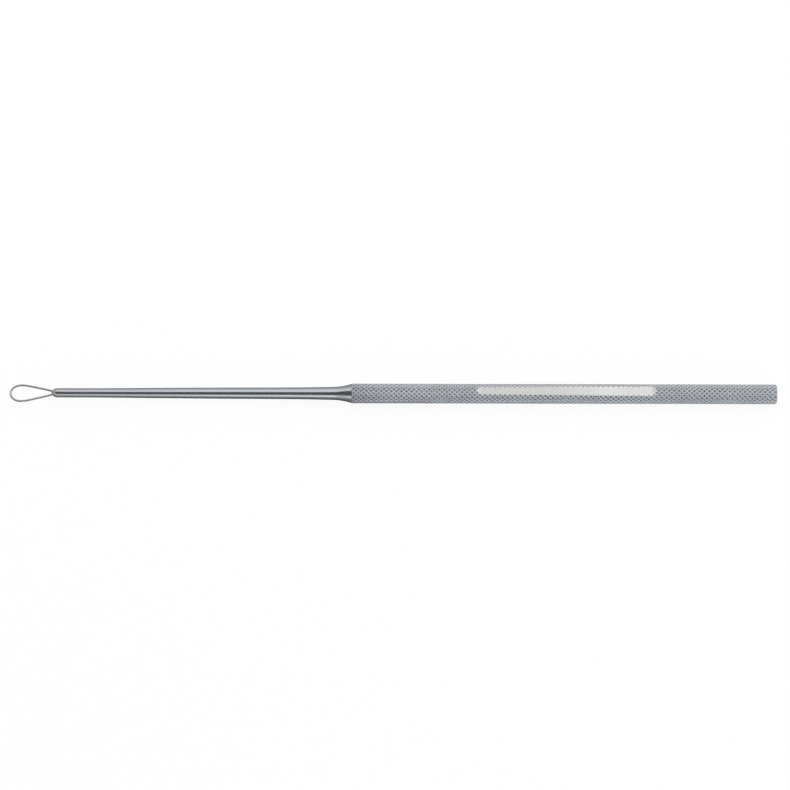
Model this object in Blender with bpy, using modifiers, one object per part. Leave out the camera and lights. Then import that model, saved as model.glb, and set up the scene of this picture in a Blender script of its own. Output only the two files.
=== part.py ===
"""Ear wax removal loop: a knurled grip, a slender turned shank and a bent wire loop, brazed together.

Metres, +Z up. The instrument lies along X on its grip, the loop towards -X and the butt towards +X.
The origin is on the surface that it lies on, under the middle of its length.
"""

import math

import bmesh
import bpy
from mathutils import Vector

MM = 0.001

# Grip, a round bar with a diamond knurl
grip_length = 88.6 * MM
grip_diameter = 4.14 * MM  # over the crossings of the knurl's ridges
knurl_depth = 0.13 * MM
knurl_pitch = 1.055 * MM  # along the grip, from one crossing to the next
knurl_starts = 14  # ridges of each hand round the bar
butt_chamfer = 0.25 * MM

# Engraving flat on the top of the grip, deeper towards the butt
flat_setback = 25.85 * MM  # behind the grip's front edge
flat_length = 37.85 * MM
flat_front_depth = 0.26 * MM
flat_rear_depth = 0.39 * MM
flat_runout = 2.6 * MM  # radius of the curve where the cut leaves the bar

# Shank, turned from thin bar and polished
shank_length = 62.0 * MM  # from the nose face to the grip
tip_diameter = 1.925 * MM
root_diameter = 2.7 * MM  # where the cove starts
cove_length = 4.3 * MM
flare_diameter = 4.02 * MM  # where the cove meets the grip
nose_length = 0.25 * MM  # the steel part of the cone, which the braze carries on
nose_diameter = 1.63 * MM  # of the nose face
taper_shares = ((0.0, 0.0), (0.17, 0.04), (0.38, 0.29), (0.59, 0.50), (0.80, 0.62), (0.92, 0.78), (1.0, 1.0))

# Spigot of the shank in the socket of the grip
spigot_diameter = 2.2 * MM
spigot_length = 9.0 * MM
spigot_chamfer = 0.2 * MM
socket_film = 0.08 * MM  # thickness of the braze round the spigot
socket_slug = 0.6 * MM  # thickness of the braze behind the spigot

# Wire loop and its two legs in the bore of the nose
wire_diameter = 0.4 * MM
loop_reach = 9.4 * MM  # from the nose face to the outside of the bend
loop_width = 3.93 * MM  # over the outside of the wire
bend_depth = 2.1 * MM  # of the round end, from the widest place forwards
shoulder_depth = 3.8 * MM  # of the longer curve behind the widest place
leg_bow = 0.045 * MM  # of each leg outwards, between the nose and the shoulder
loop_skew = math.radians(0.9)  # how far the bent wire leans towards -Y
leg_depth = 5.5 * MM  # inside the nose
leg_film = 0.09 * MM  # thickness of the braze between the legs and round them
leg_slug = 0.3 * MM  # thickness of the braze behind the legs
cap_length = 0.3 * MM  # of the braze outside the nose, which carries on its cone
cap_diameter = 1.28 * MM  # at the thin end of that cone
meniscus = 0.12 * MM  # rise of the domed end

# Clearance between faces that meet
fit_gap = 0.015 * MM

# Fineness of the round shapes
turned_steps = 36
cove_steps = 8
taper_steps = 12
bend_steps = 32
runout_steps = 6
dome_steps = 6
wire_resolution = 3

# Sizes that follow from the ones above
grip_radius = grip_diameter / 2
root_radius = grip_radius - knurl_depth
half_column = math.pi / (2 * knurl_starts)  # half the angle between two rows of the knurl
axis_height = grip_radius * math.cos(half_column)  # the bar lies on two rows of crossings
overall_length = grip_length + shank_length + loop_reach
butt_x = overall_length / 2
grip_front_x = butt_x - grip_length
nose_x = grip_front_x - shank_length
tip_radius = tip_diameter / 2
wire_radius = wire_diameter / 2
leg_offset = wire_radius + fit_gap + leg_film / 2
leg_bore_radius = leg_offset + wire_radius + leg_film + 2 * fit_gap
leg_bore_depth = leg_depth + leg_slug + 2 * fit_gap
spigot_radius = spigot_diameter / 2
socket_radius = spigot_radius + socket_film + 2 * fit_gap
socket_depth = spigot_length + socket_slug + 2 * fit_gap


def smooth_steps(stations, steps):
    """Points of a smooth curve through the stations, with slopes taken from the neighbours."""
    slopes = []
    for i in range(len(stations)):
        before = stations[max(i - 1, 0)]
        after = stations[min(i + 1, len(stations) - 1)]
        slopes.append((after[1] - before[1]) / (after[0] - before[0]))
    points = []
    for step in range(steps + 1):
        share = step / steps
        i = max(k for k in range(len(stations) - 1) if stations[k][0] <= share)
        span = stations[i + 1][0] - stations[i][0]
        t = (share - stations[i][0]) / span
        value = (2 * t**3 - 3 * t**2 + 1) * stations[i][1]
        value += (t**3 - 2 * t**2 + t) * span * slopes[i]
        value += (3 * t**2 - 2 * t**3) * stations[i + 1][1]
        value += (t**3 - t**2) * span * slopes[i + 1]
        points.append((share, value))
    return points


def new_collection(name):
    collection = bpy.data.collections.new(name)
    bpy.context.scene.collection.children.link(collection)
    return collection


def steel(name, colour, roughness):
    material = bpy.data.materials.new(name)
    material.use_nodes = True
    shader = material.node_tree.nodes["Principled BSDF"]
    shader.inputs["Base Color"].default_value = (*colour, 1.0)
    shader.inputs["Metallic"].default_value = 1.0
    shader.inputs["Roughness"].default_value = roughness
    return material


def add_object(name, data, collection, material=None):
    piece = bpy.data.objects.new(name, data)
    collection.objects.link(piece)
    if material:
        data.materials.append(material)
    return piece


def make_cutter(piece):
    piece.hide_render = True
    piece.display_type = "WIRE"
    return piece


def cut(piece, cutter, name):
    modifier = piece.modifiers.new(name, "BOOLEAN")
    modifier.operation = "DIFFERENCE"
    modifier.solver = "EXACT"
    modifier.object = cutter


def turned(name, profile, collection, material=None):
    """A shape turned about the instrument's axis, from points (x, radius) that run from axis to axis."""
    mesh = bpy.data.meshes.new(name)
    bm = bmesh.new()
    verts = [bm.verts.new((x, 0, radius)) for x, radius in profile]
    for first, second in zip(verts, verts[1:]):
        bm.edges.new((first, second))
    bm.to_mesh(mesh)
    bm.free()
    piece = add_object(name, mesh, collection, material)
    piece.location.z = axis_height
    screw = piece.modifiers.new("turn", "SCREW")
    screw.axis = "X"
    screw.angle = 2 * math.pi
    screw.steps = turned_steps
    screw.render_steps = turned_steps
    screw.use_merge_vertices = True
    screw.merge_threshold = 1e-7
    screw.use_normal_flip = True
    screw.use_smooth_shade = True
    return piece


def loop_path():
    """The centreline of the wire, from one leg's end round the loop to the other's."""
    half_width = (loop_width - wire_diameter) / 2
    centre = loop_reach - wire_radius - bend_depth
    # Each leg runs from the nose to where it touches the shoulder, an ellipse about the centre
    a = centre**2 - shoulder_depth**2
    b = leg_offset * centre
    slope = (math.sqrt(b**2 - a * (leg_offset**2 - half_width**2)) - b) / a
    height = leg_offset + slope * centre
    end_angle = math.atan2(half_width / height, -shoulder_depth * slope / height)
    side = [(-leg_depth, leg_offset), (-leg_depth / 2, leg_offset), (-wire_radius, leg_offset)]
    for step in range(1, 4):
        ahead = step / 4 * (centre + shoulder_depth * math.cos(end_angle))
        side.append((ahead, leg_offset + slope * ahead + leg_bow * math.sin(math.pi * step / 4)))
    bend = []
    for step in range(bend_steps + 1):
        angle = end_angle * (1 - 2 * step / bend_steps)
        depth = bend_depth if math.cos(angle) > 0 else shoulder_depth
        bend.append((centre + depth * math.cos(angle), half_width * math.sin(angle)))
    points = side + bend + [(ahead, -aside) for ahead, aside in reversed(side)]
    lean = math.tan(loop_skew)
    return [
        Vector((nose_x - ahead, aside - lean * max(ahead, 0.0), axis_height))
        for ahead, aside in points
    ]


def wire_curve(name, radius, collection, material=None):
    curve = bpy.data.curves.new(name, "CURVE")
    curve.dimensions = "3D"
    curve.bevel_depth = radius
    curve.bevel_resolution = wire_resolution
    curve.use_fill_caps = True
    path = loop_path()
    spline = curve.splines.new("POLY")
    spline.points.add(len(path) - 1)
    for point, place in zip(spline.points, path):
        point.co = (*place, 1.0)
    return add_object(name, curve, collection, material)


def knurled_bar(name, collection, material):
    """A bar whose surface is a wrapped grid, where crossings of ridges and bottoms of pits alternate."""
    rows = 2 * round((grip_length - butt_chamfer) / knurl_pitch)
    columns = 2 * knurl_starts
    bm = bmesh.new()
    bmesh.ops.create_grid(bm, x_segments=rows, y_segments=columns, size=0.5)
    high = set()
    for vert in bm.verts:
        row = round((vert.co.x + 0.5) * rows)
        column = round((vert.co.y + 0.5) * columns)
        on_ridge = (row + column) % 2 == 1
        if on_ridge:
            high.add(vert)
        radius = grip_radius if on_ridge else root_radius
        angle = (2 * column + 1) * half_column
        vert.co.x = grip_front_x + row / rows * (grip_length - butt_chamfer)
        vert.co.y = radius * math.sin(angle)
        vert.co.z = radius * math.cos(angle)
    for face in list(bm.faces):
        ridge_ends = [vert for vert in face.verts if vert in high]
        bmesh.utils.face_split(face, ridge_ends[0], ridge_ends[1])
    bmesh.ops.remove_doubles(bm, verts=bm.verts, dist=1e-7)
    middle_x = (grip_front_x + butt_x) / 2
    butt_edges = [edge for edge in bm.edges if edge.is_boundary and edge.verts[0].co.x > middle_x]
    rim = bmesh.ops.extrude_edge_only(bm, edges=butt_edges)["geom"]
    for vert in [item for item in rim if isinstance(item, bmesh.types.BMVert)]:
        vert.co.x = butt_x
        across = Vector((vert.co.y, vert.co.z)).normalized() * (grip_radius - butt_chamfer)
        vert.co.y, vert.co.z = across
    bmesh.ops.holes_fill(bm, edges=[edge for edge in bm.edges if edge.is_boundary], sides=0)
    bmesh.ops.recalc_face_normals(bm, faces=bm.faces)
    mesh = bpy.data.meshes.new(name)
    bm.to_mesh(mesh)
    bm.free()
    bar = add_object(name, mesh, collection, material)
    bar.location.z = axis_height
    return bar


def flat_depth(x):
    share = (x - grip_front_x - flat_setback) / flat_length
    return flat_front_depth + share * (flat_rear_depth - flat_front_depth)


def runout(edge_x, direction):
    """Points (x, depth) of the arc by which the cut climbs from the flat to above the bar, going outwards."""
    depth = flat_depth(edge_x)
    length = math.sqrt(flat_runout**2 - (flat_runout - depth) ** 2)
    points = []
    for step in range(runout_steps + 2):
        along = step / runout_steps * length
        rise = flat_runout - math.sqrt(flat_runout**2 - along**2)
        x = edge_x - direction * (length - along)
        points.append((x, flat_depth(x) - rise))
    return points


def flat_cutter(collection):
    front_x = grip_front_x + flat_setback
    front = runout(front_x, -1)
    rear = runout(front_x + flat_length, 1)
    lid_depth = -grip_radius
    outline = list(reversed(front)) + rear + [(rear[-1][0], lid_depth), (front[-1][0], lid_depth)]
    top = axis_height + grip_radius
    bm = bmesh.new()
    verts = [bm.verts.new((x, -grip_radius, top - depth)) for x, depth in outline]
    side = bm.faces.new(verts)
    pushed = bmesh.ops.extrude_face_region(bm, geom=[side])["geom"]
    moved = [item for item in pushed if isinstance(item, bmesh.types.BMVert)]
    bmesh.ops.translate(bm, verts=moved, vec=(0, 2 * grip_radius, 0))
    bmesh.ops.recalc_face_normals(bm, faces=bm.faces)
    mesh = bpy.data.meshes.new("flat_cutter")
    bm.to_mesh(mesh)
    bm.free()
    return make_cutter(add_object("flat_cutter", mesh, collection))


def socket_cutter(collection):
    end_x = grip_front_x + socket_depth
    start_x = grip_front_x - spigot_length
    profile = [(start_x, 0), (start_x, socket_radius), (end_x, socket_radius), (end_x, 0)]
    return make_cutter(turned("socket_cutter", profile, collection))


def grip(parts, cutters, material):
    bar = knurled_bar("grip", parts, material)
    cut(bar, socket_cutter(cutters), "socket")
    cut(bar, flat_cutter(cutters), "engraving_flat")
    # The flat's rim has a notch at each pit, so its one large face is split into compact triangles
    split = bar.modifiers.new("split", "TRIANGULATE")
    split.ngon_method = "BEAUTY"
    return bar


def shank(parts, material):
    seat_x = grip_front_x - fit_gap
    cove_x = seat_x - cove_length
    cone_x = nose_x + nose_length
    profile = [
        (nose_x + leg_bore_depth, 0),
        (nose_x + leg_bore_depth, leg_bore_radius),
        (nose_x, leg_bore_radius),
        (nose_x, nose_diameter / 2),
    ]
    for share, growth in smooth_steps(taper_shares, taper_steps):
        radius = tip_radius + growth * (root_diameter - tip_diameter) / 2
        profile.append((cone_x + share * (cove_x - cone_x), radius))
    rise = (flare_diameter - root_diameter) / 2
    cove_radius = (cove_length**2 + rise**2) / (2 * rise)
    for step in range(1, cove_steps + 1):
        along = step / cove_steps * cove_length
        climb = cove_radius - math.sqrt(cove_radius**2 - along**2)
        profile.append((cove_x + along, root_diameter / 2 + climb))
    end_x = seat_x + spigot_length
    profile += [
        (seat_x, spigot_radius),
        (end_x - spigot_chamfer, spigot_radius),
        (end_x, spigot_radius - spigot_chamfer),
        (end_x, 0),
    ]
    return turned("shank", profile, parts, material)


def socket_braze(parts, material):
    """A cup of braze round the spigot and behind it."""
    inner = spigot_radius + fit_gap
    outer = socket_radius - fit_gap
    mouth_x = grip_front_x + fit_gap
    floor_x = grip_front_x + spigot_length
    end_x = grip_front_x + socket_depth - fit_gap
    profile = [(floor_x, 0), (floor_x, inner), (mouth_x, inner), (mouth_x, outer), (end_x, outer), (end_x, 0)]
    return turned("socket_braze", profile, parts, material)


def wire_cutter(collection):
    """The wire, thicker by the fit gap, as a mesh that can cut the braze."""
    guide = wire_curve("wire_guide", wire_radius + fit_gap, collection)
    guide.data.splines[0].points[0].co.x += fit_gap
    guide.data.splines[0].points[-1].co.x += fit_gap
    bpy.context.view_layer.update()
    evaluated = guide.evaluated_get(bpy.context.evaluated_depsgraph_get())
    mesh = bpy.data.meshes.new_from_object(evaluated)
    bm = bmesh.new()
    bm.from_mesh(mesh)
    bmesh.ops.remove_doubles(bm, verts=bm.verts, dist=1e-7)
    bmesh.ops.recalc_face_normals(bm, faces=bm.faces)
    bm.to_mesh(mesh)
    bm.free()
    cutter = add_object("wire_cutter", mesh, collection)
    cutter.matrix_world = guide.matrix_world
    bpy.data.objects.remove(guide, do_unlink=True)
    return make_cutter(cutter)


def tip_braze(parts, cutters, material):
    """The plug of braze that fills the nose round the legs, with a cap that carries on the nose's cone."""
    radius = leg_bore_radius - fit_gap
    end_x = nose_x + leg_bore_depth - fit_gap
    seat_x = nose_x - fit_gap
    cap_x = seat_x - cap_length
    profile = []
    for step in range(dome_steps + 1):
        angle = step / dome_steps * math.pi / 2
        profile.append((cap_x - meniscus * math.cos(angle), cap_diameter / 2 * math.sin(angle)))
    profile += [(seat_x, nose_diameter / 2), (seat_x, radius), (end_x, radius), (end_x, 0)]
    plug = turned("tip_braze", profile, parts, material)
    cut(plug, wire_cutter(cutters), "legs")
    return plug


def build():
    for old in list(bpy.data.objects):
        bpy.data.objects.remove(old, do_unlink=True)
    parts = new_collection("ear_wax_removal_loop")
    cutters = new_collection("cutters")
    knurled_steel = steel("knurled_steel", (0.50, 0.52, 0.54), 0.42)
    polished_steel = steel("polished_steel", (0.56, 0.58, 0.60), 0.16)
    wire_steel = steel("wire_steel", (0.52, 0.53, 0.54), 0.28)
    silver_braze = steel("silver_braze", (0.58, 0.58, 0.56), 0.35)
    grip(parts, cutters, knurled_steel)
    shank(parts, polished_steel)
    wire_curve("wire_loop", wire_radius, parts, wire_steel)
    tip_braze(parts, cutters, silver_braze)
    socket_braze(parts, silver_braze)


build()
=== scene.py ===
# Ear wax removal loop: a knurled grip, a polished shank and a bent wire loop on a pale floor
import math

import bmesh
import bpy
from mathutils import Matrix, Vector, noise


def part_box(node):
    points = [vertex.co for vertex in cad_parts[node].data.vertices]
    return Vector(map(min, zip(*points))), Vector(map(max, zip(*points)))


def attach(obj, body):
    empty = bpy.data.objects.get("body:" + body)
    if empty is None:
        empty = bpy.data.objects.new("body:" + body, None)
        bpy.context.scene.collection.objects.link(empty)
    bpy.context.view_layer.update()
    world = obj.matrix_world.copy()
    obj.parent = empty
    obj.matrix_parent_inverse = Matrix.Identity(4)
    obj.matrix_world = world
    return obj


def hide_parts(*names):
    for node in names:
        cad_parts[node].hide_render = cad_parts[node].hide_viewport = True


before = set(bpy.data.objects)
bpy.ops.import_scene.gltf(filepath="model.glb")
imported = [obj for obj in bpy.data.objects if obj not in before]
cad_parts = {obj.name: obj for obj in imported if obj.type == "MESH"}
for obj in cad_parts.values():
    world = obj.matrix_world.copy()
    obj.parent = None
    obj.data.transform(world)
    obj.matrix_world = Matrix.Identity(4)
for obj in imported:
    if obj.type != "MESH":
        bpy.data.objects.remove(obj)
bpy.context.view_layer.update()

mm = 0.001
scene = bpy.context.scene
scene.view_settings.view_transform = "Standard"

# Places that every piece shares, taken from the solids
gripLow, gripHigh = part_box("grip")
shankLow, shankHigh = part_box("shank")
axisHeight = (shankLow.z + shankHigh.z) / 2
gripFront = gripLow.x
buttEnd = gripHigh.x
noseFace = shankLow.x
print("Frame: solids", ", ".join(sorted(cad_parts)))


# Helpers for meshes

def finishMesh(bm, name, sharpAngle=math.radians(40)):
    # Smooth shading, broken at the edges that are sharp or part two finishes
    for face in bm.faces:
        face.smooth = True
    for edge in bm.edges:
        finishes = {face.material_index for face in edge.link_faces}
        edge.smooth = len(finishes) < 2 and edge.calc_face_angle(0.0) < sharpAngle
    mesh = bpy.data.meshes.new(name)
    bm.to_mesh(mesh)
    bm.free()
    piece = bpy.data.objects.new(name, mesh)
    scene.collection.objects.link(piece)
    return piece


def spinProfile(bm, profile, steps):
    # Turns points (x, radius), which run from axis to axis, about the instrument's axis
    verts = [bm.verts.new((x, 0, axisHeight + radius)) for x, radius in profile]
    edges = [bm.edges.new(pair) for pair in zip(verts, verts[1:])]
    bmesh.ops.spin(bm, geom=verts + edges, cent=(0, 0, axisHeight), axis=(1, 0, 0),
                   angle=2 * math.pi, steps=steps, use_merge=True)
    bmesh.ops.remove_doubles(bm, verts=bm.verts, dist=0.001 * mm)
    bmesh.ops.recalc_face_normals(bm, faces=bm.faces)


def ringEdges(bm, x, radius, slack=0.004 * mm):
    # The edges of one circle of a turned shape
    def onRing(vert):
        reach = math.hypot(vert.co.y, vert.co.z - axisHeight)
        return abs(vert.co.x - x) < slack and abs(reach - radius) < slack
    return [edge for edge in bm.edges if all(onRing(vert) for vert in edge.verts)]


def roundRing(bm, x, radius, offset, segments=3):
    bmesh.ops.bevel(bm, geom=ringEdges(bm, x, radius), offset=offset, segments=segments,
                    profile=0.5, affect="EDGES", material=-1)


def boundaryAt(bm, x, slack=0.002 * mm):
    # The open edges that lie in the plane at x
    return [edge for edge in bm.edges
            if edge.is_boundary and all(abs(vert.co.x - x) < slack for vert in edge.verts)]


def pushRing(bm, edges, place):
    # Extrudes an open rim once; place gives each new vertex its position
    made = bmesh.ops.extrude_edge_only(bm, edges=edges)["geom"]
    for vert in (item for item in made if isinstance(item, bmesh.types.BMVert)):
        vert.co = place(vert.co)
    return [item for item in made if isinstance(item, bmesh.types.BMEdge)]


# Grip: a round bar with a rolled diamond knurl and a ground flat

gripForm = {
    "starts": 13,  # ridges of each hand round the bar
    # From ridge to ridge along the bar, for each hand: the two rollers differ a little
    "rightPitch": 1.037 * mm,
    "leftPitch": 1.066 * mm,
    "firstAngle": math.radians(8.6),  # of the first row of pits, from the top
    "start": -0.70 * mm,  # of the pattern, from the front of the grip
    "rootRadius": 1.915 * mm,
    "landRadius": axisHeight - 0.001 * mm,  # over the flattened ridges, on which the bar lies
    # Places across one ridge and how high each stands, from the middle of a pit to the next one
    "ridge": ((0.0, 0.0), (0.16, 0.03), (0.45, 1.0), (0.55, 1.0), (0.84, 0.03)),
    "unevenness": 0.10,  # share of the depth by which the rolling varies
    "driftLength": 6 * mm,  # along the bar, over which it varies
    "ridgeHold": 0.6,  # how much less the tops of the ridges vary than their flanks
    "frontRound": 0.05 * mm,
    "buttRound": 0.40 * mm,
    "roundSteps": 5,
    "socketRadius": 1.21 * mm,
    "socketDepth": 9.63 * mm,
    "flatStart": 25.85 * mm,  # behind the front of the grip
    "flatLength": 37.85 * mm,
    "flatDepths": (0.26 * mm, 0.39 * mm),  # at the front and at the rear, under the points of the knurl
    "flatRunout": 2.6 * mm,  # radius of the curve at each end
    "pointRadius": 2.07 * mm,
    "sharpAngle": math.radians(24),
}
gripFinishes = {"knurled": 0, "ground": 1, "faced": 2}  # places of the grip's three finishes


def windKnurl(bm, form):
    # A flat net of ridges, wound round the bar like a sheet and joined where its edges meet
    shape = form["ridge"]
    pitch = 2 / (1 / form["rightPitch"] + 1 / form["leftPitch"])
    pitches = math.ceil((buttEnd - gripFront - form["start"]) / pitch)
    across = form["starts"] * len(shape)
    along = (2 * pitches + form["starts"]) * len(shape)
    depth = form["landRadius"] - form["rootRadius"]
    bmesh.ops.create_grid(bm, x_segments=across, y_segments=along, size=0.5)
    heights = {}
    for vert in bm.verts:
        rightTile, rightStep = divmod(round((vert.co.x + 0.5) * across), len(shape))
        leftTile, leftStep = divmod(round((vert.co.y + 0.5) * along), len(shape))
        right = rightTile + shape[rightStep][0]
        left = leftTile + shape[leftStep][0] - form["starts"]
        height = max(shape[rightStep][1], shape[leftStep][1])
        reach = (right + left) / 2 * pitch
        x = gripFront + form["start"] + reach
        angle = form["firstAngle"] + (right - reach / form["rightPitch"]) * 2 * math.pi / form["starts"]
        drift = noise.noise(Vector((x / form["driftLength"], math.sin(angle), math.cos(angle))))
        loss = form["unevenness"] * (0.5 + drift) * (1 - height * form["ridgeHold"])
        share = max(height - loss, 0.0)
        radius = form["rootRadius"] + depth * share
        vert.co = (x, radius * math.sin(angle), axisHeight + radius * math.cos(angle))
        heights[vert] = height
    for face in list(bm.faces):
        # A corner where two flanks meet is split along its crease
        levels = [heights[vert] for vert in face.verts]
        low = levels.index(min(levels))
        if levels.count(levels[low]) == 1 and levels.count(max(levels)) == 3:
            bmesh.utils.face_split(face, face.verts[low], face.verts[(low + 2) % 4])
    bmesh.ops.remove_doubles(bm, verts=bm.verts, dist=0.002 * mm)


def cutAcross(bm, x, direction, clear, reachAlong=0.8 * mm):
    # Cuts only the few rows of faces near the plane, because the knurl is long
    near = [face for face in bm.faces if abs(face.verts[0].co.x - x) < reachAlong]
    reach = {item for face in near for item in (*face.verts, *face.edges)}
    bmesh.ops.bisect_plane(bm, geom=near + list(reach), dist=0.0005 * mm, plane_co=(x, 0, 0),
                           plane_no=(direction, 0, 0), clear_outer=clear)


def trimBar(bm, form):
    spare = 0.7 * mm  # left beyond each end for a clean cut
    beyond = [vert for vert in bm.verts if not gripFront - spare <= vert.co.x <= buttEnd + spare]
    bmesh.ops.delete(bm, geom=beyond, context="VERTS")
    cutAcross(bm, gripFront, -1, True)
    cutAcross(bm, buttEnd, 1, True)
    # Each end is rounded: rings are cut through the knurl there and drawn in to the round
    steps = form["roundSteps"]
    for end, inward, size in ((gripFront, 1, form["frontRound"]), (buttEnd, -1, form["buttRound"])):
        for step in range(1, steps + 1):
            angle = step / steps * math.pi / 2
            cutAcross(bm, end + inward * size * (1 - math.cos(angle)), 1, False)
        for vert in bm.verts:
            gap = abs(vert.co.x - end)
            if gap < size:
                edgeRadius = form["landRadius"] - size + math.sqrt(size**2 - (size - gap) ** 2)
                y, z = vert.co.y, vert.co.z - axisHeight
                shrink = min(1.0, edgeRadius / math.hypot(y, z))
                vert.co = (vert.co.x, y * shrink, axisHeight + z * shrink)


def closeBar(bm, form):
    # Adds the front face, the socket's wall and floor, and the butt
    def toSocket(co):
        side = Vector((0, co.y, co.z - axisHeight)).normalized() * form["socketRadius"]
        return Vector((co.x, side.y, axisHeight + side.z))
    rim = pushRing(bm, boundaryAt(bm, gripFront), toSocket)
    floor = pushRing(bm, rim, lambda co: co + Vector((form["socketDepth"], 0, 0)))
    bmesh.ops.holes_fill(bm, edges=floor, sides=0)
    capped = bmesh.ops.holes_fill(bm, edges=boundaryAt(bm, buttEnd), sides=0)["faces"]
    for face in capped:
        face.material_index = gripFinishes["faced"]
    bmesh.ops.recalc_face_normals(bm, faces=bm.faces)


def makeFlatCutter(form):
    # A block with a nearly flat underside that curves up at each end, as the grinding wheel left it
    start = gripFront + form["flatStart"]
    frontDepth, rearDepth = form["flatDepths"]
    top = axisHeight + form["pointRadius"]

    def depthAt(x):
        return frontDepth + (x - start) / form["flatLength"] * (rearDepth - frontDepth)

    def runout(edge, outward, steps=14):
        depth = depthAt(edge)
        radius = form["flatRunout"]
        length = math.sqrt(radius**2 - (radius - depth) ** 2)
        points = []
        for step in range(steps + 2):
            reach = step / steps * length
            x = edge + outward * (reach - length)
            points.append((x, depthAt(x) - radius + math.sqrt(radius**2 - reach**2)))
        return points

    front = runout(start, -1)
    rear = runout(start + form["flatLength"], 1)
    lid = -2 * mm  # its upper side, well clear of the bar
    halfWidth = 2.5 * mm
    outline = front[::-1] + rear + [(rear[-1][0], lid), (front[-1][0], lid)]
    bm = bmesh.new()
    side = bm.faces.new([bm.verts.new((x, -halfWidth, top - depth)) for x, depth in outline])
    pushed = bmesh.ops.extrude_face_region(bm, geom=[side])["geom"]
    moved = [item for item in pushed if isinstance(item, bmesh.types.BMVert)]
    bmesh.ops.translate(bm, verts=moved, vec=(0, 2 * halfWidth, 0))
    bmesh.ops.recalc_face_normals(bm, faces=bm.faces)
    for face in bm.faces:
        face.material_index = gripFinishes["ground"]
    return finishMesh(bm, "flatCutter")


def makeGrip(form, finishes):
    bm = bmesh.new()
    windKnurl(bm, form)
    trimBar(bm, form)
    closeBar(bm, form)
    blank = finishMesh(bm, "gripBlank")
    cutter = makeFlatCutter(form)
    for mesh in (blank.data, cutter.data):
        for finish in finishes:
            mesh.materials.append(finish)
    # The flat is ground through the finished knurl
    grind = blank.modifiers.new("grind", "BOOLEAN")
    grind.operation = "DIFFERENCE"
    grind.solver = "EXACT"
    grind.object = cutter
    ground = blank.evaluated_get(bpy.context.evaluated_depsgraph_get())
    bm = bmesh.new()
    bm.from_mesh(ground.to_mesh())
    ground.to_mesh_clear()
    bpy.data.objects.remove(blank)
    bpy.data.objects.remove(cutter)
    # Faces with many corners, such as the flat and the butt, are parted so that they shade evenly
    large = [face for face in bm.faces if len(face.verts) > 4]
    bmesh.ops.triangulate(bm, faces=large, ngon_method="BEAUTY")
    grip = finishMesh(bm, "knurledGrip", form["sharpAngle"])
    for finish in finishes:
        grip.data.materials.append(finish)
    return grip


# Shank: turned from thin bar, with a coned nose, a cove and a spigot

shankForm = {
    "tipRadius": 0.9625 * mm,
    "rootRadius": 1.35 * mm,  # where the cove starts
    "flareRadius": 2.01 * mm,
    "coveLength": 4.3 * mm,
    "coneLength": 0.25 * mm,
    "noseRadius": 0.815 * mm,
    "boreRadius": 0.58 * mm,
    "boreDepth": 5.83 * mm,
    "taper": ((0.0, 0.0), (0.17, 0.04), (0.38, 0.29), (0.59, 0.50), (0.80, 0.62), (0.92, 0.78), (1.0, 1.0)),
    "taperSteps": 60,
    "coveSteps": 24,
    "spigotRadius": 1.1 * mm,
    "spigotLength": 9.0 * mm,
    "spigotChamfer": 0.2 * mm,
    "seatGap": 0.015 * mm,
    "noseRound": 0.01 * mm,
    "coneRound": 0.06 * mm,
    "flareRound": 0.015 * mm,
    "steps": 96,
}


def smoothSteps(stations, steps):
    # Points of a smooth curve through the stations, with slopes taken from the neighbours
    last = len(stations) - 1
    slopes = []
    for i in range(last + 1):
        before, after = stations[max(i - 1, 0)], stations[min(i + 1, last)]
        slopes.append((after[1] - before[1]) / (after[0] - before[0]))
    points = []
    for step in range(steps + 1):
        share = step / steps
        i = max(k for k in range(last) if stations[k][0] <= share)
        width = stations[i + 1][0] - stations[i][0]
        t = (share - stations[i][0]) / width
        value = (2 * t**3 - 3 * t**2 + 1) * stations[i][1] + (3 * t**2 - 2 * t**3) * stations[i + 1][1]
        value += width * ((t**3 - 2 * t**2 + t) * slopes[i] + (t**3 - t**2) * slopes[i + 1])
        points.append((share, value))
    return points


def makeShank(form, finish):
    seat = gripFront - form["seatGap"]
    cove = seat - form["coveLength"]
    cone = noseFace + form["coneLength"]
    profile = [
        (noseFace + form["boreDepth"], 0.0),
        (noseFace + form["boreDepth"], form["boreRadius"]),
        (noseFace, form["boreRadius"]),
        (noseFace, form["noseRadius"]),
    ]
    for share, growth in smoothSteps(form["taper"], form["taperSteps"]):
        radius = form["tipRadius"] + growth * (form["rootRadius"] - form["tipRadius"])
        profile.append((cone + share * (cove - cone), radius))
    rise = form["flareRadius"] - form["rootRadius"]
    coveRadius = (form["coveLength"] ** 2 + rise**2) / (2 * rise)
    for step in range(1, form["coveSteps"] + 1):
        along = step / form["coveSteps"] * form["coveLength"]
        profile.append((cove + along, form["rootRadius"] + coveRadius - math.sqrt(coveRadius**2 - along**2)))
    end = seat + form["spigotLength"]
    profile += [
        (seat, form["spigotRadius"]),
        (end - form["spigotChamfer"], form["spigotRadius"]),
        (end, form["spigotRadius"] - form["spigotChamfer"]),
        (end, 0.0),
    ]
    bm = bmesh.new()
    spinProfile(bm, profile, form["steps"])
    roundRing(bm, noseFace, form["noseRadius"], form["noseRound"], 2)
    roundRing(bm, cone, form["tipRadius"], form["coneRound"])
    roundRing(bm, seat, form["flareRadius"], form["flareRound"], 2)
    shank = finishMesh(bm, "polishedShank")
    shank.data.materials.append(finish)
    return shank


# Wire: one length of round wire, bent into a teardrop with two legs in the nose

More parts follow.
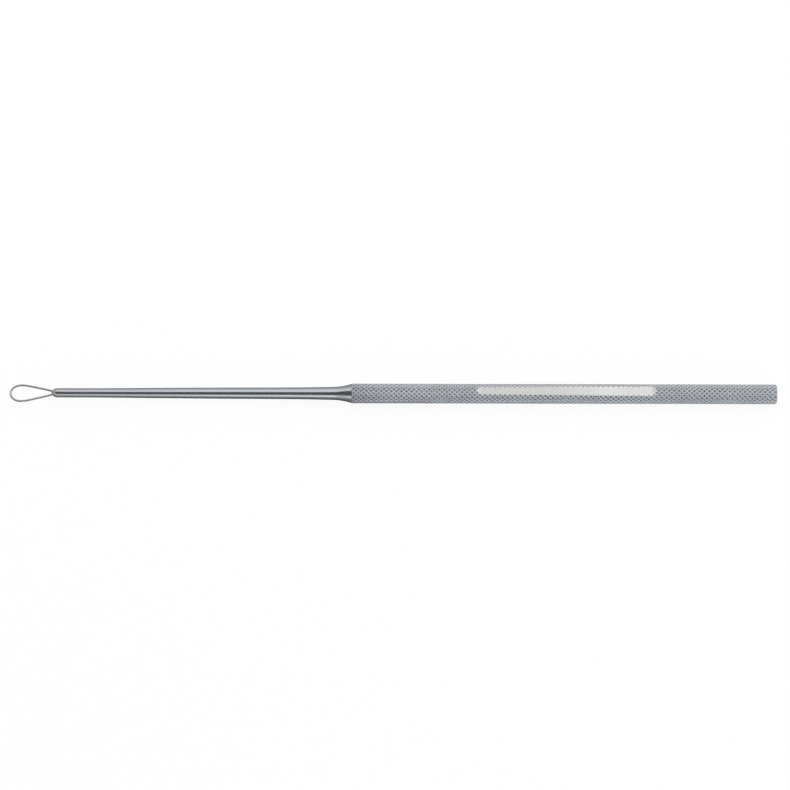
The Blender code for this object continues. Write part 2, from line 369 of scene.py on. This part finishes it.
wireForm = {
    "radius": 0.2 * mm,
    "reach": 9.4 * mm,  # from the nose face to the outside of the bend
    "width": 3.925 * mm,  # over the outside of the wire
    "bendDepth": 2.1 * mm,  # of the round end, from the widest place forwards
    "shoulderDepth": 3.8 * mm,  # of the longer curve behind the widest place
    "bow": 0.045 * mm,  # of each leg outwards, between the nose and the shoulder
    "skew": math.radians(0.9),
    "legOffset": 0.26 * mm,
    "legDepth": 5.5 * mm,
    "easing": 0.5 * mm,  # half the length over which a leg bends out of the nose
    "easingSteps": 8,
    "legSteps": 12,
    "bendSteps": 72,
    "sides": 20,
    "endRound": 0.03 * mm,
}


def wirePath(form):
    halfWidth = form["width"] / 2 - form["radius"]
    shoulder, offset = form["shoulderDepth"], form["legOffset"]
    centre = form["reach"] - form["radius"] - form["bendDepth"]
    # Each leg runs from the nose to where it touches the shoulder, an ellipse about the centre
    a = centre**2 - shoulder**2
    b = offset * centre
    slope = (math.sqrt(b**2 - a * (offset**2 - halfWidth**2)) - b) / a
    height = offset + slope * centre
    endAngle = math.atan2(halfWidth / height, -shoulder * slope / height)
    touch = centre + shoulder * math.cos(endAngle)
    easing = form["easing"]
    side = [(-form["legDepth"], offset), (-form["legDepth"] / 2, offset)]
    for step in range(form["easingSteps"] + 1):
        share = step / form["easingSteps"]
        ahead = easing * (2 * share - 1)
        bow = form["bow"] * math.sin(math.pi * max(ahead, 0.0) / touch)
        side.append((ahead, offset + slope * easing * share**2 + bow))
    for step in range(1, form["legSteps"]):
        ahead = easing + step / form["legSteps"] * (touch - easing)
        side.append((ahead, offset + slope * ahead + form["bow"] * math.sin(math.pi * ahead / touch)))
    bend = []
    for step in range(form["bendSteps"] + 1):
        angle = endAngle * (1 - 2 * step / form["bendSteps"])
        depth = form["bendDepth"] if math.cos(angle) > 0 else shoulder
        bend.append((centre + depth * math.cos(angle), halfWidth * math.sin(angle)))
    lean = math.tan(form["skew"])
    points = side + bend + [(ahead, -aside) for ahead, aside in reversed(side)]
    return [Vector((noseFace - ahead, aside - lean * max(ahead, 0.0), axisHeight)) for ahead, aside in points]


def makeWire(form, finish):
    path = wirePath(form)
    frames = []
    for i, point in enumerate(path):
        along = (path[min(i + 1, len(path) - 1)] - path[max(i - 1, 0)]).normalized()
        aside = Vector((0, 0, 1)).cross(along)
        turn = Matrix((aside, Vector((0, 0, 1)), along)).transposed()
        frames.append(Matrix.Translation(point) @ turn.to_4x4())
    bm = bmesh.new()
    straight = bm.verts.layers.float_vector.new("straightened")  # where a point would be on the unbent wire
    made = bmesh.ops.create_circle(bm, segments=form["sides"], radius=form["radius"], matrix=frames[0])
    ring = {edge for vert in made["verts"] for edge in vert.link_edges}
    run = 0.0

    def label(verts, frameHere):
        for vert in verts:
            local = frameHere.inverted() @ vert.co
            vert[straight] = (run, local.x, local.y)

    label(made["verts"], frames[0])
    for i in range(1, len(frames)):
        geom = bmesh.ops.extrude_edge_only(bm, edges=list(ring))["geom"]
        verts = [item for item in geom if isinstance(item, bmesh.types.BMVert)]
        ring = {item for item in geom if isinstance(item, bmesh.types.BMEdge)
                and all(vert in verts for vert in item.verts)}
        bmesh.ops.transform(bm, matrix=frames[i] @ frames[i - 1].inverted(), verts=verts)
        run += (path[i] - path[i - 1]).length
        label(verts, frames[i])
    ends = bmesh.ops.holes_fill(bm, edges=[edge for edge in bm.edges if edge.is_boundary], sides=0)["faces"]
    rims = list({edge for face in ends for edge in face.edges})
    bmesh.ops.bevel(bm, geom=rims, offset=form["endRound"], segments=2, profile=0.5,
                    affect="EDGES", material=-1)
    bmesh.ops.recalc_face_normals(bm, faces=bm.faces)
    wire = finishMesh(bm, "bentWire")
    wire.data.materials.append(finish)
    return wire


# Braze: the cap that carries on the nose's cone and closes it round the two legs

brazeForm = {
    "plugRadius": 0.565 * mm,
    "plugGap": 0.03 * mm,  # behind the plug, to the bottom of the bore
    "capLength": 0.3 * mm,
    "capRadius": 0.64 * mm,  # at the thin end of the cone
    "rise": 0.06 * mm,  # of the domed end
    "climb": 0.14 * mm,  # how far the braze creeps up each leg
    "climbWidth": 0.075 * mm,
    "web": 0.19 * mm,  # how far it fills the crotch between the legs
    "webWidth": 0.2 * mm,
    "rimPower": 4,  # how near to the rim of the dome both still hold
    "legNear": 0.08 * mm,  # points of the wire's path this near the cap show where the legs are
    "domeSteps": 26,
    "steps": 72,
    "sharpAngle": math.radians(60),
}


def makeBraze(form, finish):
    seat = noseFace - shankForm["seatGap"]
    cap = seat - form["capLength"]
    profile = []
    for step in range(form["domeSteps"] + 1):
        angle = step / form["domeSteps"] * math.pi / 2
        profile.append((cap - form["rise"] * math.cos(angle), form["capRadius"] * math.sin(angle)))
    end = noseFace + shankForm["boreDepth"] - form["plugGap"]
    profile += [
        (seat, shankForm["noseRadius"]),
        (seat, form["plugRadius"]),
        (end, form["plugRadius"]),
        (end, 0.0),
    ]
    bm = bmesh.new()
    spinProfile(bm, profile, form["steps"])
    legs = [point for point in wirePath(wireForm) if abs(point.x - cap) < form["legNear"]]
    for vert in bm.verts:
        # Only the dome grows, and its rim stays on the cone
        if vert.co.x < cap - 0.0005 * mm:
            up = vert.co.z - axisHeight
            inset = 1 - (math.hypot(vert.co.y, up) / form["capRadius"]) ** form["rimPower"]
            vert.co.x -= form["web"] * inset * math.exp(-(up / form["webWidth"]) ** 2)
            for leg in legs:
                gap = max(math.hypot(vert.co.y - leg.y, vert.co.z - leg.z) - wireForm["radius"], 0.0)
                vert.co.x -= form["climb"] * inset * math.exp(-gap / form["climbWidth"]) * 2 / len(legs)
    bmesh.ops.recalc_face_normals(bm, faces=bm.faces)
    braze = finishMesh(bm, "brazeMound", form["sharpAngle"])
    braze.data.materials.append(finish)
    return braze


# Helpers for materials

def put(tree, kind, inputs=None, **options):
    # Adds a node; an input that is given a socket is linked to it
    made = tree.nodes.new("ShaderNode" + kind)
    for option, value in options.items():
        setattr(made, option, value)
    for key, value in (inputs or {}).items():
        if isinstance(value, bpy.types.NodeSocket):
            tree.links.new(value, made.inputs[key])
        else:
            made.inputs[key].default_value = value
    return made


def combine(tree, operation, first, second=0.0, clamp=False):
    return put(tree, "Math", {0: first, 1: second}, operation=operation, use_clamp=clamp).outputs[0]


def mixColours(tree, factor, first, second):
    return put(tree, "Mix", {0: factor, 6: first, 7: second}, data_type="RGBA").outputs[2]


def stretchVector(tree, vector, stretch):
    return put(tree, "VectorMath", {0: vector, 1: stretch}, operation="MULTIPLY").outputs[0]


def span(tree, value, low, high, bottom=0.0, top=1.0):
    # Maps low to high onto bottom to top, and holds at the ends
    ranged = {"Value": value, "From Min": low, "From Max": high, "To Min": bottom, "To Max": top}
    return put(tree, "MapRange", ranged).outputs[0]


def newGroup(name, inputs, outputs):
    group = bpy.data.node_groups.new(name, "ShaderNodeTree")
    for label, kind, value in inputs:
        socket = group.interface.new_socket(name=label, in_out="INPUT", socket_type="NodeSocket" + kind)
        socket.default_value = value
    for label, kind in outputs:
        group.interface.new_socket(name=label, in_out="OUTPUT", socket_type="NodeSocket" + kind)
    entry = group.nodes.new("NodeGroupInput")
    leave = group.nodes.new("NodeGroupOutput")
    return group, entry.outputs, leave.inputs


def useGroup(tree, group, inputs):
    return put(tree, "Group", inputs, node_tree=group).outputs


grainForm = {
    "fine": {"Scale": 1.0, "Detail": 4.0, "Roughness": 0.62},
    "broad": {"Scale": 1.0, "Detail": 2.0, "Roughness": 0.5},
    "broadStretch": (0.31, 0.31, 0.31),  # of the broad marks, against the fine ones
}


def makeGrainGroup():
    # Fine marks of turning, drawing or grinding, as narrow on each axis as the stretch says
    group, given, result = newGroup(
        "toolMarks",
        [("Vector", "Vector", (0, 0, 0)), ("Stretch", "Vector", (1000, 1000, 1000)),
         ("Unevenness", "Float", 0.5)],
        [("Marks", "Float")])
    fine = stretchVector(group, given["Vector"], given["Stretch"])
    broad = stretchVector(group, fine, grainForm["broadStretch"])
    first = put(group, "TexNoise", {"Vector": fine, **grainForm["fine"]})
    second = put(group, "TexNoise", {"Vector": broad, **grainForm["broad"]})
    shares = {0: given["Unevenness"], 2: first.outputs[0], 3: second.outputs[0]}
    group.links.new(put(group, "Mix", shares, data_type="FLOAT").outputs[0], result["Marks"])
    return group


wearForm = {
    # Turn and stretch of each of the two directions of hairlines
    "hairlines": (((0.3, 0.2, 0.35), (260, 5200, 5200)), ((0.3, 0.2, -0.6), (340, 4300, 4300))),
    "hairlineField": {"Scale": 1.0, "Detail": 1.0},
    "hairlineWidth": 0.012,  # in the field's own value, on each side of its middle
    "patchField": {"Scale": 420.0, "Detail": 2.0},
    "patches": (0.55, 0.68),  # of the field, from no hairlines to all of them
    "smudgeField": {"Detail": 3.0, "Roughness": 0.55},
    "smudges": (0.35, 0.65),
}


def makeWearGroup():
    # Sparse hairline scratches in two directions, and broad smudges from handling
    group, given, result = newGroup(
        "handlingWear",
        [("Vector", "Vector", (0, 0, 0)), ("Hairlines", "Float", 0.5), ("Smudge Size", "Float", 0.004)],
        [("Scratches", "Float"), ("Smudges", "Float")])
    layers = []
    for turn, stretch in wearForm["hairlines"]:
        turned = put(group, "Mapping", {"Vector": given["Vector"], "Rotation": turn}).outputs[0]
        drawn = stretchVector(group, turned, stretch)
        field = put(group, "TexNoise", {"Vector": drawn, **wearForm["hairlineField"]}).outputs[0]
        ridge = combine(group, "ABSOLUTE", combine(group, "SUBTRACT", field, 0.5))
        layers.append(span(group, ridge, 0.0, wearForm["hairlineWidth"], 1.0, 0.0))
    lines = combine(group, "MAXIMUM", layers[0], layers[1])
    where = put(group, "TexNoise", {"Vector": given["Vector"], **wearForm["patchField"]}).outputs[0]
    patches = span(group, where, *wearForm["patches"])
    sparse = combine(group, "MULTIPLY", lines, patches)
    group.links.new(combine(group, "MULTIPLY", sparse, given["Hairlines"]), result["Scratches"])
    size = combine(group, "DIVIDE", 1.0, given["Smudge Size"])
    cloud = put(group, "TexNoise", {"Vector": given["Vector"], "Scale": size, **wearForm["smudgeField"]})
    group.links.new(span(group, cloud.outputs[0], *wearForm["smudges"]), result["Smudges"])
    return group


toneForm = {
    "marksRoughen": 0.35,  # for each unit by which the marks change the colour's value
    # How much of the metal's colour each kind of wear, and the dirt and painted shade in the hollows, takes,
    # what colour it brings, and how much it roughens
    "wear": {
        "Smudges": {"share": 0.16, "colour": (0.30, 0.30, 0.295, 1), "roughens": 0.05},
        # Dirt and painted shade: a dark colour towards the root of the knurl's grooves
        "HollowDirtAndShade": {"share": 0.72, "colour": (0.08, 0.085, 0.095, 1), "roughens": 0.15},
        "Scratches": {"share": 0.5, "colour": (0.55, 0.56, 0.57, 1), "roughens": 0.12},
    },
}


def makeToneGroup():
    # Colour and roughness of bare metal from its marks, scratches, smudges, and the dirt and painted shade in
    # its hollows
    group, given, result = newGroup(
        "metalTone",
        [("Colour", "Color", (0.4, 0.4, 0.4, 1)), ("Polish", "Float", 0.2), ("Marks", "Float", 0.5),
         ("Scratches", "Float", 0.0), ("Smudges", "Float", 0.5), ("HollowDirtAndShade", "Float", 0.0),
         ("Contrast", "Float", 0.2)],
        [("Colour", "Color"), ("Roughness", "Float")])
    swing = combine(group, "MULTIPLY", combine(group, "SUBTRACT", given["Marks"], 0.5), given["Contrast"])
    value = combine(group, "ADD", 1.0, swing)
    colour = put(group, "HueSaturation", {"Color": given["Colour"], "Value": value}).outputs[0]
    roughSwing = combine(group, "MULTIPLY", swing, toneForm["marksRoughen"])
    rough = combine(group, "ADD", given["Polish"], roughSwing)
    for kind, tone in toneForm["wear"].items():
        share = combine(group, "MULTIPLY", given[kind], tone["share"])
        colour = mixColours(group, share, colour, tone["colour"])
        rough = combine(group, "ADD", rough, combine(group, "MULTIPLY", given[kind], tone["roughens"]), True)
    group.links.new(colour, result["Colour"])
    group.links.new(rough, result["Roughness"])
    return group


groups = {"marks": makeGrainGroup(), "wear": makeWearGroup(), "tone": makeToneGroup()}


scratchDepth = 0.4  # against the height of the marks


def startMetal(name, edgeTint):
    material = bpy.data.materials.new(name)
    material.use_nodes = True
    tree = material.node_tree
    shader = tree.nodes["Principled BSDF"]
    shader.inputs["Metallic"].default_value = 1.0
    shader.inputs["Specular Tint"].default_value = (*edgeTint, 1)
    return material, tree, shader


def axisDistance(tree, vector):
    parts = put(tree, "SeparateXYZ", {0: vector}).outputs
    up = combine(tree, "SUBTRACT", parts["Z"], axisHeight)
    flat = put(tree, "CombineXYZ", {"X": parts["Y"], "Y": up}).outputs[0]
    return put(tree, "VectorMath", {0: flat}, operation="LENGTH").outputs["Value"]


def makeMetal(name, look):
    material, tree, shader = startMetal(name, look["edgeTint"])
    follow = look.get("marksFollow", "object")
    if follow == "wire":
        vector = put(tree, "Attribute", attribute_name="straightened").outputs["Vector"]
    else:
        vector = put(tree, "TexCoord").outputs["Object"]
    markVector = vector
    if follow == "circles":
        markVector = put(tree, "CombineXYZ", {"X": axisDistance(tree, vector)}).outputs[0]
    marks = useGroup(tree, groups["marks"], {
        "Vector": markVector, "Stretch": look["stretch"], "Unevenness": look["unevenness"]})["Marks"]
    wear = useGroup(tree, groups["wear"], {
        "Vector": vector, "Hairlines": look["hairlines"], "Smudge Size": look["smudgeSize"]})
    hollow = 0.0
    # Dirt and painted shade: darker towards the root of the knurl's grooves, by distance from the axis
    if "hollows" in look:
        deep, shallow = look["hollows"]
        hollow = span(tree, axisDistance(tree, vector), deep, shallow, 1.0, 0.0)
    colour = (*look["colour"], 1)
    # Painted shade: the colour is darkened along the bar, standing in for shade that falls there
    if "paintedShade" in look:
        start, end, low = look["paintedShade"]
        along = put(tree, "SeparateXYZ", {0: vector}).outputs["X"]
        shade = span(tree, along, gripFront + start, gripFront + end, low, 1.0)
        colour = put(tree, "HueSaturation", {"Color": colour, "Value": shade}).outputs[0]
    tone = useGroup(tree, groups["tone"], {
        "Colour": colour, "Polish": look["polish"], "Marks": marks,
        "Scratches": wear["Scratches"], "Smudges": wear["Smudges"], "HollowDirtAndShade": hollow,
        "Contrast": look["contrast"]})
    tree.links.new(tone["Colour"], shader.inputs["Base Color"])
    tree.links.new(tone["Roughness"], shader.inputs["Roughness"])
    scored = combine(tree, "MULTIPLY", wear["Scratches"], scratchDepth)
    relief = combine(tree, "SUBTRACT", marks, scored)
    bump = put(tree, "Bump", {"Height": relief, "Strength": look["relief"], "Distance": look["reliefDepth"]})
    tree.links.new(bump.outputs[0], shader.inputs["Normal"])
    return material


# Finishes, one for each kind of metal surface

# A painted shade darkens the colour to its last number at the first place behind the front of the grip, and
# is over at the second; it stands in for shade that falls on that part. Hollows hold dirt and painted shade,
# from all of it at the first radius to none at the second.
# Stretch says how narrow the marks are on each axis. The axes are the object's own, unless marksFollow
# names circles, with the distance from the instrument's axis first, or the wire, with the way along it first.
looks = {
    "knurledSteel": {
        "colour": (0.412, 0.436, 0.464), "edgeTint": (0.85, 0.85, 0.85), "polish": 0.42, "contrast": 0.5,
        # Painted shade darkens the front of the knurl
        "paintedShade": (0, 7 * mm, 0.81), "hollows": (gripForm["rootRadius"], 2.0 * mm),
        "stretch": (3000, 3000, 3000), "unevenness": 0.4, "hairlines": 0.5, "smudgeSize": 5 * mm,
        "relief": 0.25, "reliefDepth": 0.008 * mm},
    "groundSteel": {
        "colour": (0.385, 0.385, 0.385), "edgeTint": (0.6, 0.6, 0.6), "polish": 0.22, "contrast": 0.35,
        # Painted shade darkens the front part of the flat
        "paintedShade": (42 * mm, 54 * mm, 0.87),
        "stretch": (120, 9000, 9000), "unevenness": 0.35, "hairlines": 1.0, "smudgeSize": 6 * mm,
        "relief": 0.35, "reliefDepth": 0.006 * mm},
    "facedSteel": {
        "colour": (0.37, 0.38, 0.39), "edgeTint": (0.5, 0.5, 0.5), "polish": 0.30, "contrast": 0.4,
        "marksFollow": "circles",
        "stretch": (12000, 1, 1), "unevenness": 0.3, "hairlines": 1.0, "smudgeSize": 2 * mm,
        "relief": 0.4, "reliefDepth": 0.006 * mm},
    "polishedSteel": {
        "colour": (0.305, 0.322, 0.34), "edgeTint": (0.2, 0.21, 0.22), "polish": 0.13, "contrast": 0.16,
        "stretch": (7000, 160, 160), "unevenness": 0.5, "hairlines": 0.6, "smudgeSize": 7 * mm,
        "relief": 0.07, "reliefDepth": 0.003 * mm},
    "drawnWire": {
        "colour": (0.27, 0.27, 0.27), "edgeTint": (0.25, 0.25, 0.25), "polish": 0.26, "contrast": 0.2,
        "marksFollow": "wire",
        "stretch": (300, 14000, 14000), "unevenness": 0.4, "hairlines": 0.5, "smudgeSize": 2 * mm,
        "relief": 0.15, "reliefDepth": 0.002 * mm},
    "silverBraze": {
        "colour": (0.29, 0.29, 0.28), "edgeTint": (0.4, 0.4, 0.39), "polish": 0.36, "contrast": 0.5,
        "stretch": (5000, 5000, 5000), "unevenness": 0.5, "hairlines": 0.3, "smudgeSize": 1 * mm,
        "relief": 0.35, "reliefDepth": 0.01 * mm},
}

metals = {name: makeMetal(name, look) for name, look in looks.items()}
print("Finishes: made", len(metals))

gripMetals = [metals["knurledSteel"], metals["groundSteel"], metals["facedSteel"]]  # in gripFinishes' order
pieces = [
    (makeGrip(gripForm, gripMetals), "grip", "knurled_steel"),
    (makeShank(shankForm, metals["polishedSteel"]), "shank", "polished_steel"),
    (makeWire(wireForm, metals["drawnWire"]), "wire_loop", "wire_steel"),
    (makeBraze(brazeForm, metals["silverBraze"]), "tip_braze", "silver_braze"),
]
for piece, solid, slot in pieces:
    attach(piece, "root")
    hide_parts(solid)
    print("Piece:", piece.name, "for", solid, "with", len(piece.data.polygons), "faces")

# The braze in the socket keeps the mesh of its solid and only gets a finish
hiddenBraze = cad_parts["socket_braze"]
hiddenBraze.data.materials.clear()
hiddenBraze.data.materials.append(metals["silverBraze"])


# Floor, cards and light

studio = {
    "floorSize": 6.0,
    "floorTone": 0.9,
    "floorGlow": 0.93,  # share of the floor's colour that is plain white to the camera
    "mirroredGlow": 0.28,  # and to the metal that mirrors it
}

# Soft boxes lie along the instrument. The angle of the middle is taken over the front horizon,
# halfAngle is half of what the box fills, and strengths gives how bright it is at some places along it
boxes = {
    "frontBox": {"angle": 16.5, "halfAngle": 15.5, "distance": 0.55, "length": 2.4,
                 "strengths": ((-0.42, 1.0), (-0.25, 0.25), (-0.13, 0.2), (-0.06, 0.98))},
    "backBox": {"angle": 120.5, "halfAngle": 27.5, "distance": 0.6, "length": 2.4,
                "strengths": ((-0.16, 0.64), (0.16, 1.1))},
}

# Cards that the metal mirrors and the camera doesn't see
cards = {
    "darkCard": {"angle": 64.5, "halfAngle": 26.5, "distance": 1.05, "middle": 0.0, "length": 2.4,
                 "colour": (0.205, 0.225, 0.245)},
    "sideCard": {"angle": 97.0, "halfAngle": 6.0, "distance": 0.5, "middle": -0.42, "length": 0.55,
                 "colour": (0.205, 0.225, 0.245)},
}

# Strips of painted shadow on the floor under the instrument, from its axis to the front, which only the metal
# mirrors; their greys stand in for the instrument's shadow there
shadeStrips = {
    "far": -16 * mm,
    "lift": 0.02 * mm,
    "strips": {  # start, end and colour of each
        "shankStrip": (-0.3, gripFront, (0.46, 0.46, 0.47)),
        "coveStrip": (gripFront, 8 * mm, (0.58, 0.58, 0.59)),
        "flatStrip": (8 * mm, 34 * mm, (0.82, 0.82, 0.83)),
        "buttStrip": (34 * mm, 0.3, (0.95, 0.95, 0.96)),
    },
}


def makeFloor():
    bm = bmesh.new()
    bmesh.ops.create_grid(bm, x_segments=4, y_segments=4, size=studio["floorSize"] / 2)
    floor = finishMesh(bm, "paleFloor")
    material = bpy.data.materials.new("palePaper")
    material.use_nodes = True
    tree = material.node_tree
    tree.nodes.remove(tree.nodes["Principled BSDF"])
    tone = studio["floorTone"]
    sheet = put(tree, "BsdfDiffuse", {"Color": (tone, tone, tone, 1)}).outputs[0]
    glow = put(tree, "Emission", {"Color": (1, 1, 1, 1), "Strength": 1.0}).outputs[0]
    ray = put(tree, "LightPath").outputs
    # Metal shows the floor with more of the instrument's shadow than the camera does
    mirrored = combine(tree, "ADD", ray["Is Glossy Ray"], ray["Is Transmission Ray"], True)
    mirrored = combine(tree, "MULTIPLY", mirrored, studio["mirroredGlow"])
    share = combine(tree, "MULTIPLY", ray["Is Camera Ray"], studio["floorGlow"])
    share = combine(tree, "ADD", share, mirrored, True)
    mixed = put(tree, "MixShader", {0: share, 1: sheet, 2: glow}).outputs[0]
    tree.links.new(mixed, tree.nodes["Material Output"].inputs["Surface"])
    floor.data.materials.append(material)


def facing(angle, distance):
    # A place round the instrument, turned so that -Z looks at it
    angle = math.radians(angle)
    direction = Vector((0, -math.cos(angle), math.sin(angle)))
    aside = Vector((1, 0, 0))
    turn = Matrix((aside, direction.cross(aside), direction)).transposed()
    return Matrix.Translation(direction * distance + Vector((0, 0, axisHeight))) @ turn.to_4x4()


def makeBox(name, form):
    lamp = bpy.data.lights.new(name, "AREA")
    lamp.shape = "RECTANGLE"
    lamp.size = form["length"]
    lamp.size_y = 2 * form["distance"] * math.tan(math.radians(form["halfAngle"]))
    lamp.energy = math.pi * lamp.size * lamp.size_y  # so a box is as bright at any size
    lamp.use_nodes = True
    tree = lamp.node_tree
    along = put(tree, "SeparateXYZ", {0: put(tree, "NewGeometry").outputs["Parametric"]}).outputs[0]
    ramp = put(tree, "ValToRGB", {0: along})
    stops = ramp.color_ramp.elements
    while len(stops) < len(form["strengths"]):
        stops.new(1.0)
    for stop, (x, strength) in zip(stops, form["strengths"]):
        stop.position = 0.5 + x / form["length"]
        stop.color = (strength, strength, strength, 1)
    tree.links.new(ramp.outputs["Color"], tree.nodes["Emission"].inputs["Strength"])
    box = bpy.data.objects.new(name, lamp)
    box.matrix_world = facing(form["angle"], form["distance"])
    box.visible_camera = False
    scene.collection.objects.link(box)


def makeCard(name, colour, size, place):
    bm = bmesh.new()
    bmesh.ops.create_grid(bm, x_segments=2, y_segments=2, size=0.5)
    bmesh.ops.scale(bm, verts=bm.verts, vec=(*size, 1))
    bmesh.ops.transform(bm, verts=bm.verts, matrix=place)
    card = finishMesh(bm, name)
    material = bpy.data.materials.new(name)
    material.use_nodes = True
    shader = material.node_tree.nodes["Principled BSDF"]
    shader.inputs["Base Color"].default_value = (*colour, 1)
    shader.inputs["Roughness"].default_value = 1.0
    card.data.materials.append(material)
    card.visible_camera = False
    return card


def standCard(name, form):
    depth = 2 * form["distance"] * math.tan(math.radians(form["halfAngle"]))
    place = Matrix.Translation((form["middle"], 0, 0)) @ facing(form["angle"], form["distance"])
    makeCard(name, form["colour"], (form["length"], depth), place)


# Lays one strip of painted shadow, seen only in the metal's reflections
def layStrip(name, start, end, colour):
    middle = Matrix.Translation(((start + end) / 2, shadeStrips["far"] / 2, shadeStrips["lift"]))
    sheet = makeCard(name, colour, (end - start, -shadeStrips["far"]), middle)
    sheet.visible_diffuse = False
    sheet.visible_shadow = False


makeFloor()
for name, form in boxes.items():
    makeBox(name, form)
for name, form in cards.items():
    standCard(name, form)
for name, (start, end, colour) in shadeStrips["strips"].items():
    layStrip(name, start, end, colour)

world = bpy.data.worlds.new("whiteRoom")
world.use_nodes = True
world.node_tree.nodes["Background"].inputs["Color"].default_value = (1, 1, 1, 1)
world.node_tree.nodes["Background"].inputs["Strength"].default_value = 1.0
scene.world = world
print("Studio: floor,", len(boxes), "soft boxes and", len(cards) + len(shadeStrips["strips"]), "cards")


# Camera, at the photograph's angle

view = {
    "elevation": math.radians(68),
    "distance": 0.70,
    "frameWidth": 164.86 * mm,  # of the picture, at the instrument
    "aimX": 0.41 * mm,  # of the picture's middle, along the instrument
    "aimUp": -0.305 * mm,  # and up the picture
    "roll": math.radians(0.126),
}

camera = bpy.data.cameras.new("camera")
camera.sensor_width = 36
camera.lens = camera.sensor_width * view["distance"] / view["frameWidth"]
camera.clip_start = 0.01
eye = bpy.data.objects.new("camera", camera)
back = Vector((0, -math.cos(view["elevation"]), math.sin(view["elevation"])))
right = Vector((1, 0, 0))
up = back.cross(right)
aim = Vector((view["aimX"], 0, axisHeight)) + up * view["aimUp"]
turn = Matrix((right, up, back)).transposed() @ Matrix.Rotation(view["roll"], 3, "Z")
eye.matrix_world = Matrix.Translation(aim + back * view["distance"]) @ turn.to_4x4()
scene.collection.objects.link(eye)
scene.camera = eye
print("Camera: lens", round(camera.lens, 1), "mm")
